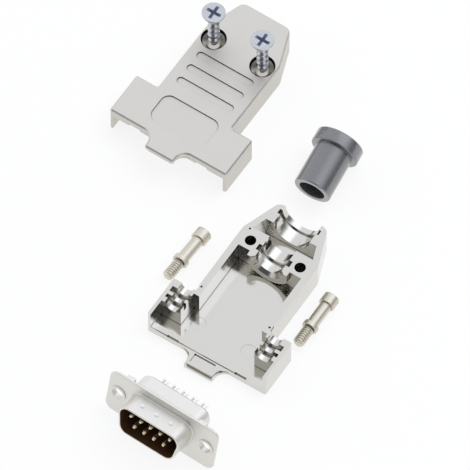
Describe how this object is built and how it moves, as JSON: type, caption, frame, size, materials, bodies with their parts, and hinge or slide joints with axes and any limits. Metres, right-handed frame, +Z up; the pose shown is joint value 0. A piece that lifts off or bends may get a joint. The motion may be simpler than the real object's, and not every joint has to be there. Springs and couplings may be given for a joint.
{
  "type": "d-sub plug with metal hood kit",
  "caption": "D-shaped solder-cup plug with its two-part metal hood, cover screws, jackscrews and rubber cable grommet, laid out ready to assemble.",
  "frame": {"origin": "middle of the front edge of the lower hood half, on the surface that the set lies on", "axes": "+Z up from the surface; -Y is the mating direction of the plug and of the hood, +Y runs back to the cable; +X across the flange"},
  "size_m": [0.072, 0.1132, 0.0194],
  "materials": {
    "hood_nickel": "satin nickel plate",
    "jackscrew_nickel": "bright nickel plate",
    "screw_zinc": "blue zinc plate",
    "grommet_rubber": "satin",
    "plug_tin": "tin plate",
    "insulator_plastic": "semi-gloss",
    "contact_metal": "gold flash"
  },
  "bodies": {
    "root": {"lower_shell": "hood_nickel", "upper_shell": "hood_nickel", "jackscrew_left": "jackscrew_nickel", "jackscrew_right": "jackscrew_nickel", "cover_screw_left": "screw_zinc", "cover_screw_right": "screw_zinc", "cable_grommet": "grommet_rubber", "connector_front_shell": "plug_tin", "connector_rear_shell": "plug_tin", "connector_eyelet_left": "plug_tin", "connector_eyelet_right": "plug_tin", "connector_insulator": "insulator_plastic", "contact_1": "contact_metal", "contact_2": "contact_metal", "contact_3": "contact_metal", "contact_4": "contact_metal", "contact_5": "contact_metal", "contact_6": "contact_metal", "contact_7": "contact_metal", "contact_8": "contact_metal", "contact_9": "contact_metal"}
  },
  "joints": []
}
